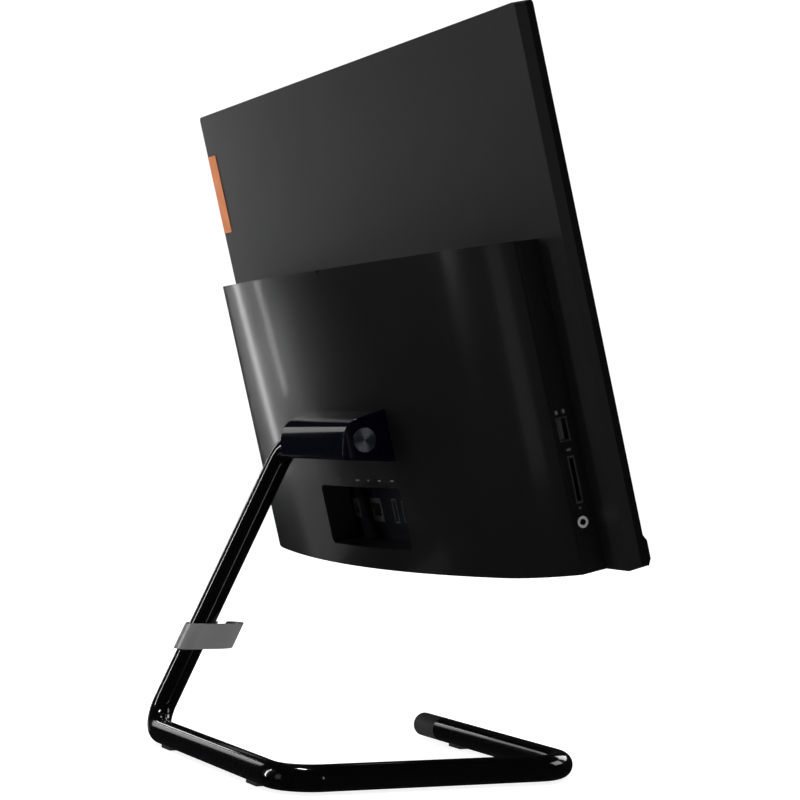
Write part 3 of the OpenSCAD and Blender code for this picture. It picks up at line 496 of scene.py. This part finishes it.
def cable_clip():
    """Open band round the upright and the cables, level at its top and bottom."""
    reach = 15 * MM
    inner_r = TUBE_R + 0.4 * MM
    thick = 2 * MM
    slit = 5 * MM
    mid_r = inner_r + thick / 2
    across = Vector((1, 0, 0))
    outward = across.cross(UPRIGHT_AXIS) * -1
    foot = Vector((UPRIGHT_X, HINGE.y, HINGE.z))
    steps = 20
    line = [(Vector((mid_r, y)), Vector((1, 0))) for y in (-reach + slit / 2, -reach / 2)]
    for i in range(steps + 1):
        a = math.pi * i / steps
        line.append((Vector((math.cos(a), math.sin(a))) * mid_r, Vector((math.cos(a), math.sin(a)))))
    last = 2 * math.pi - math.asin(slit / 2 / mid_r)
    for i in range(steps + 1):
        a = math.pi + (last - math.pi) * i / steps
        direction = Vector((math.cos(a), math.sin(a)))
        line.append((direction * mid_r + Vector((0, -reach)), direction))

    def at(flat, height):
        point = foot + across * flat.x + outward * flat.y
        return point + UPRIGHT_AXIS * ((height - point.z) / UPRIGHT_AXIS.z)

    rings = []
    for centre, normal in line:
        inner = centre - normal * thick / 2
        outer = centre + normal * thick / 2
        rings.append([
            at(inner, clip_low.z), at(outer, clip_low.z), at(outer, clip_high.z), at(inner, clip_high.z),
        ])
    obj = piece("clip_band", skin_rings(rings, "clip_band"), "clip_grey", "cable_clip",
                replaces=["cable_clip"])
    round_edges(obj, 0.55 * MM, 3, 50)


# ---------- hinge ----------

def touch_angle(point, centre, radius, side):
    """Direction from the centre to where a line from the point touches the circle."""
    away = point - centre
    return math.atan2(away.y, away.x) - side * math.acos(radius / away.length)


def arc_points(centre, radius, start, end):
    """Points along an arc, from one angle to another."""
    steps = 30
    angles = [start + (end - start) * i / steps for i in range(steps + 1)]
    return [centre + Vector((math.cos(a), math.sin(a))) * radius for a in angles]


def hinge_cover():
    """Glossy cover over the hinge: level underside, upright back, rounded top, bored for the tube."""
    axis = Vector((AXIS_W, AXIS_V))
    level = Vector((math.cos(TILT), math.sin(TILT)))
    up = Vector((-math.sin(TILT), math.cos(TILT)))
    top = Vector((COVER_ROOT_LINE_W, COVER_TOP_V))
    corner = axis + (COVER_R - COVER_CORNER_R) * level - (COVER_DROP - COVER_CORNER_R) * up
    bottom = axis - COVER_DROP * up - level * (AXIS_W - COVER_ROOT_LINE_W) / math.cos(TILT)
    outline = [bottom]
    outline += arc_points(corner, COVER_CORNER_R, TILT - math.pi / 2, TILT)
    outline += arc_points(axis, COVER_R, TILT, touch_angle(top, axis, COVER_R, 1))
    outline.append(top)
    outline = spaced(outline + [bottom], 3 * MM)[:-1]
    mouth = [axis + (p - axis).normalized() * BORE_R for p in outline]
    room = [axis + (p - axis).normalized() * ROOM_R for p in outline]
    sections = [
        (COVER_U0, outline), (COVER_U1, outline), (COVER_U1, mouth), (COVER_U1 - COVER_WALL, mouth),
        (COVER_U1 - COVER_WALL, room), (PIN_START_X - 0.5 * MM, room),
    ]
    rings = [[on_display(u, p.x, p.y) for p in section] for u, section in sections]
    obj = piece("hinge_block", skin_rings(rings, "hinge_block"), "gloss_black", "display",
                replaces=["hinge_cover"])
    round_edges(obj, 0.9 * MM, 4, 50)


def hinge_disc():
    """Turned metal disc let into the end of the hinge cover."""
    proud = 0.3 * MM
    rim = DISC_R - 0.05 * MM
    profile = [(-1 * MM, rim), (proud - 0.2 * MM, rim), (proud, DISC_R - 0.3 * MM)]
    for i in range(1, 6):
        radius = DISC_R * (1 - i / 6.5)
        profile += [(proud, radius + 0.12 * MM), (proud - 0.008 * MM, radius), (proud, radius - 0.12 * MM)]
    profile.append((proud, 0.3 * MM))
    mesh = lathe(on_display(COVER_U0, AXIS_W, AXIS_V), Vector((-1, 0, 0)), profile, 64, "hinge_disc")
    piece("hinge_disc", mesh, "disc_metal", "display", replaces=["hinge_end_disc"])


def hinge_collar():
    """Dark collar round the tube where it enters the hinge cover."""
    outer = TUBE_R + 1.5 * MM
    profile = [(-0.6 * MM, BORE_R), (0, BORE_R), (0, outer), (-0.6 * MM, outer)]
    origin = on_display(COVER_U1 + 0.25 * MM, AXIS_W, AXIS_V)
    mesh = turned_ring(origin, Vector((1, 0, 0)), profile, 64, "hinge_collar")
    piece("hinge_collar", mesh, "gloss_black", "display")


# ---------- trim on the display ----------

TAG_W = 15.5 * MM
TAG_V0 = 227 * MM
TAG_V1 = 284 * MM


def side_tag():
    """Plain coloured tag on the back, folded round the slab's edge."""
    thick = 0.4 * MM
    fold = 6 * MM
    turn = 0.8 * MM
    steps = 6
    centre = Vector((HALF_W - turn, thick - turn))
    outside = [Vector((HALF_W - TAG_W, thick))]
    for i in range(steps + 1):
        a = math.pi / 2 * (1 - i / steps)
        outside.append(centre + Vector((math.cos(a), math.sin(a))) * turn)
    outside.append(Vector((HALF_W, -fold)))
    inner_u = HALF_W - 0.3 * MM
    inner_w = 0.01 * MM
    inside = [Vector((inner_u, -fold)), Vector((inner_u, inner_w)), Vector((HALF_W - TAG_W, inner_w))]
    outline = outside + inside
    rings = [[on_display(p.x, p.y, v) for p in outline] for v in (TAG_V0, TAG_V1)]
    obj = piece("plain_tag", skin_rings(rings, "plain_tag"), "tag_orange", "display", replaces=["side_tag"])
    round_edges(obj, 0.12 * MM, 2, 50)


def flat_marks(name, strokes, place, depth):
    """Printed marks: strokes are (x, y, width, height) about a place on the surface."""
    points = []
    faces = []
    for x, y, w, h in strokes:
        base = len(points)
        for level in (0, depth):
            for a, b in ((-1, -1), (1, -1), (1, 1), (-1, 1)):
                points.append(place(x + a * w / 2, y + b * h / 2, level))
        for quad in ((0, 1, 2, 3), (4, 5, 6, 7), (0, 1, 5, 4), (1, 2, 6, 5), (2, 3, 7, 6), (3, 0, 4, 7)):
            faces.append(tuple(base + k for k in quad))
    piece(name, mesh_from(points, faces, name), "diffuser", "display", finish="mark_ink")


def port_marks():
    """Small plain dashes over the rear sockets and beside the side sockets."""
    over_recess = 59 * MM
    rear = [(31, 2), (4, 2), (-24, 6), (-39, 2.5), (-54, 3.5), (-70, 3.5)]
    for count, (u, width) in enumerate(rear):
        def place(x, y, level, u=u * MM):
            return on_display(u + x, arch_w(u + x) + 0.02 * MM + level, over_recess + y)
        flat_marks(f"rear_mark_{count}", [(0, 0, width * MM, 1.1 * MM)], place, 0.04 * MM)
    side = [(11, 91.5, 1.6, 2.2), (6.5, 91.5, 1.6, 2.2), (8, 70, 2.6, 1.2), (8.5, 37, 1.2, 1.2)]
    for count, (w, v, across, high) in enumerate(side):
        def place(x, y, level, w=w * MM, v=v * MM):
            return on_display(-HALF_HOUSING - 0.01 * MM - level, w + x, v + y)
        flat_marks(f"side_mark_{count}", [(0, 0, across * MM, high * MM)], place, 0.04 * MM)


def socket_contacts():
    """Sprung contacts in the network socket and on the USB tongues."""
    boxes = []
    for i in range(8):
        v = 34.5 * MM + (i - 3.5) * 1.02 * MM
        boxes.append((-4.5 * MM, -4 * MM, 23 * MM, 33 * MM, v - 0.2 * MM, v + 0.2 * MM))
    for u in (-43, -55.5, -68):
        for i in range(4):
            v = 34.5 * MM + (i - 1.5) * 2.3 * MM
            across = ((u + 0.25) * MM, (u + 0.35) * MM)
            boxes.append((*across, 23.5 * MM, 32.3 * MM, v - 0.55 * MM, v + 0.55 * MM))
    piece("socket_contacts", boxes_mesh(boxes, "socket_contacts"), "connector_metal", "display",
          finish="contact_gold")


def jack_ring():
    """Bright turned ring round the headset socket."""
    bore = 1.85 * MM
    rim = 3.38 * MM
    back = -0.5 * MM
    profile = [(0, bore), (0.02 * MM, 2.6 * MM), (0, 3.3 * MM), (-0.3 * MM, rim), (back, rim), (back, bore)]
    origin = on_display(-HALF_HOUSING - 0.05 * MM, 8.5 * MM, 29 * MM)
    ring = turned_ring(origin, Vector((-1, 0, 0)), profile, 40, "jack_ring")
    piece("jack_ring", ring, "connector_metal", "display", finish="ring_grey")


# ---------- stage ----------

def area_light(name, place, target, width, height, power, colour=(1, 1, 1)):
    data = bpy.data.lights.new(name, "AREA")
    data.shape = "RECTANGLE"
    data.size = width
    data.size_y = height
    data.energy = power
    data.color = colour
    light = bpy.data.objects.new(name, data)
    bpy.context.scene.collection.objects.link(light)
    light.location = place
    light.rotation_mode = "QUATERNION"
    light.rotation_quaternion = (Vector(target) - Vector(place)).to_track_quat("-Z", "Y")
    light.visible_camera = False
    return light


def glow_outwards(finish, near, far):
    """Value that rises smoothly with the distance from the object."""
    reach = finish.add("ShaderNodeVectorMath", operation="LENGTH")
    finish.join(finish.coords, reach.inputs[0])
    span = finish.add("ShaderNodeMapRange", interpolation_type="SMOOTHSTEP")
    for socket, value in (("From Min", 0.35), ("From Max", 1.1), ("To Min", near), ("To Max", far)):
        span.inputs[socket].default_value = value
    finish.join(reach.outputs["Value"], span.inputs["Value"])
    return span.outputs["Result"]


def make_floor():
    size = 30.0
    bm = bmesh.new()
    bmesh.ops.create_grid(bm, x_segments=8, y_segments=8, size=size)
    mesh = bpy.data.meshes.new("floor")
    bm.to_mesh(mesh)
    bm.free()
    paper = Finish("floor_paper", (0.86, 0.86, 0.86), 0.9, specular=0.1)
    paper.mottle(0.4, 0.01)
    paper.shader.inputs["Emission Color"].default_value = (1, 1, 1, 1)
    paper.join(glow_outwards(paper, 0.87, 1.06), paper.shader.inputs["Emission Strength"])
    mesh.materials.append(paper.material)
    floor = bpy.data.objects.new("floor", mesh)
    bpy.context.scene.collection.objects.link(floor)
    floor.visible_glossy = False


def make_world():
    world = bpy.data.worlds.new("studio")
    bpy.context.scene.world = world
    world.use_nodes = True
    tree = world.node_tree
    tree.nodes.clear()
    output = tree.nodes.new("ShaderNodeOutputWorld")
    mix = tree.nodes.new("ShaderNodeMixShader")
    path = tree.nodes.new("ShaderNodeLightPath")
    room = tree.nodes.new("ShaderNodeBackground")
    backdrop = tree.nodes.new("ShaderNodeBackground")
    room.inputs["Color"].default_value = (0.9, 0.93, 1, 1)
    room.inputs["Strength"].default_value = 0.009
    backdrop.inputs["Color"].default_value = (1, 1, 1, 1)
    backdrop.inputs["Strength"].default_value = 1.05
    tree.links.new(path.outputs["Is Camera Ray"], mix.inputs["Fac"])
    tree.links.new(room.outputs["Background"], mix.inputs[1])
    tree.links.new(backdrop.outputs["Background"], mix.inputs[2])
    tree.links.new(mix.outputs["Shader"], output.inputs["Surface"])


def make_lights():
    middle = (0, 0, 0.2)
    fill = area_light("overhead", (0.1, 0.2, 2.0), (0, 0, 0), 2.2, 2.2, 22)
    fill.visible_glossy = False
    area_light("overhead_strip", (-0.1, 0.25, 2.0), (0, 0, 0.1), 0.5, 0.12, 6)
    area_light("first_stripe", (1.04, 0.075, 0.26), (0.14, 0.05, 0.2), 0.03, 0.45, 0.2)
    area_light("second_stripe", (1.03, 0.2, 0.31), (0.14, 0.05, 0.2), 0.02, 0.45, 0.1)
    area_light("upper_fill", (1.25, 0.35, 0.5), (0.2, 0.1, 0.4), 0.2, 0.5, 0.24)
    area_light("lower_fill", (1.0, 0.2, 0.03), (0.14, 0.05, 0.12), 0.22, 0.3, 0.05)
    area_light("low_card", (-0.2, 0.6, 0.06), (-0.2, 0.03, 0.15), 0.12, 0.3, 0.035)
    area_light("back_strip", (0.9, 1.75, 0.6), middle, 0.08, 1.6, 8)
    area_light("near_line", (-1.9, -0.33, 0.3), middle, 0.04, 0.6, 0.32)
    area_light("front_box", (0.9, -2.2, 1.3), middle, 1.2, 0.9, 9)
    area_light("front_box_left", (-0.9, -2.2, 1.3), middle, 1.2, 0.9, 7)


# ---------- everything in order ----------

make_camera()
for plain_material in list(bpy.data.materials):
    bpy.data.materials.remove(plain_material)
FINISHES = make_finishes()
for node_name, node_object in NODES.items():
    node_object.data.materials.clear()
    node_object.data.materials.append(FINISHES[SLOT_OF[node_name]])

for node_name in ("rear_cover", "front_bezel", "chin_strip"):
    soften(node_name, 0.45 * MM)
for node_name in ("housing_cover", "socket_side_panel", "button_side_panel", "top_grille", "bottom_grille"):
    soften(node_name, 0.3 * MM)
for node_name in ("power_button", "camera_shutter", "foot_pads"):
    soften(node_name, 0.25 * MM)

stand_tube()
end_cap()
cable_clip()
hinge_cover()
hinge_disc()
hinge_collar()
side_tag()
port_marks()
socket_contacts()
jack_ring()

make_floor()
make_world()
make_lights()
bpy.context.scene.view_settings.view_transform = "Standard"
